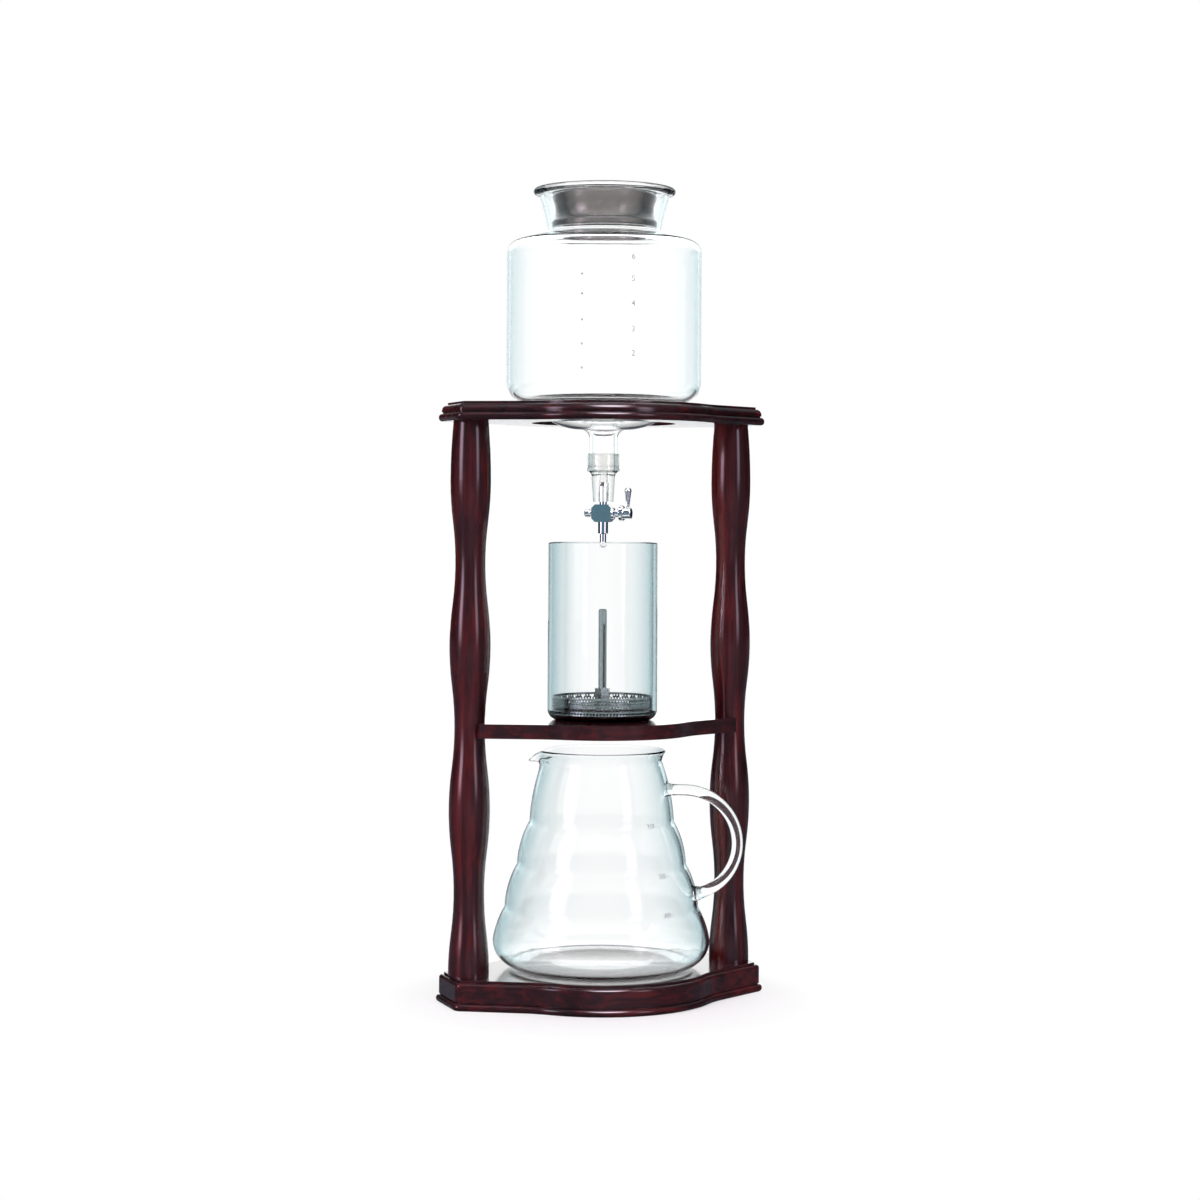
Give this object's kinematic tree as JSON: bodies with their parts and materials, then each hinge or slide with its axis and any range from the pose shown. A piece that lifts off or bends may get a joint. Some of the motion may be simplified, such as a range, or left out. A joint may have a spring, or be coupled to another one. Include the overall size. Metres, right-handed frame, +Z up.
{
  "type": "cold drip coffee tower",
  "caption": "Cold drip coffee tower: a lacquered wooden stand carries a glass water chamber with a drip tap, over a glass brewer with a steel filter and a ribbed glass jug.",
  "frame": {"origin": "centre of the base plate's underside, on the vertical line through the water chamber, tap, brewer and jug", "axes": "+Z up, X from post to post, -Y the front"},
  "size_m": [0.197, 0.1394, 0.484],
  "materials": {
    "lacquered_wood": "dark red lacquer, high gloss",
    "bare_wood": "bare, smooth",
    "glass": "clear heatproof glass, polished",
    "clear_silicone": "milky, translucent, satin",
    "taupe_silicone": "satin",
    "black_silicone": "satin",
    "chrome": "bright plating",
    "steel": "bright stainless"
  },
  "bodies": {
    "stand": {"base_plate": "lacquered_wood", "top_plate": "lacquered_wood", "brewer_shelf": "lacquered_wood", "left_post": "lacquered_wood", "right_post": "lacquered_wood", "base_screws": "steel", "top_dowels": "bare_wood", "shelf_pegs": "bare_wood"},
    "chamber": {"water_chamber": "glass", "tap_sleeve": "clear_silicone", "tap_stem": "chrome", "tap_block": "chrome", "tap_collar": "chrome", "drip_spout": "chrome"},
    "lid": {"lid_glass": "glass", "lid_seal": "taupe_silicone"},
    "tap": {"tap_plug": "chrome", "plug_rings": "black_silicone", "plug_washer": "chrome", "plug_nut": "chrome", "tap_knob": "chrome", "tap_lever": "chrome"},
    "brewer": {"brewer_glass": "glass"},
    "filter": {"filter_gasket": "black_silicone", "filter_cup": "steel", "filter_tube": "steel", "filter_nut": "steel"},
    "jug": {"jug_body": "glass", "jug_handle": "glass"}
  },
  "joints": [
    {"name": "chamber_lift", "type": "slide", "parent": "stand", "child": "chamber", "axis": [0, 0, 1], "range_m": [0, 0.095]},
    {"name": "tap_turn", "type": "hinge", "parent": "chamber", "child": "tap", "pos_m": [0, 0, 0.2896], "axis": [0.809, -0.5878, 0], "range_deg": [0, 90]},
    {"name": "lid_lift", "type": "slide", "parent": "chamber", "child": "lid", "axis": [0, 0, 1], "range_m": [0, 0.06]},
    {"name": "brewer_lift", "type": "slide", "parent": "stand", "child": "brewer", "axis": [0, 0, 1], "range_m": [0, 0.016]},
    {"name": "filter_lift", "type": "slide", "parent": "brewer", "child": "filter", "axis": [0, 0, 1], "range_m": [0, 0.018]},
    {"name": "jug_slide", "type": "slide", "parent": "stand", "child": "jug", "axis": [0, -1, 0], "range_m": [0, 0.14]}
  ]
}
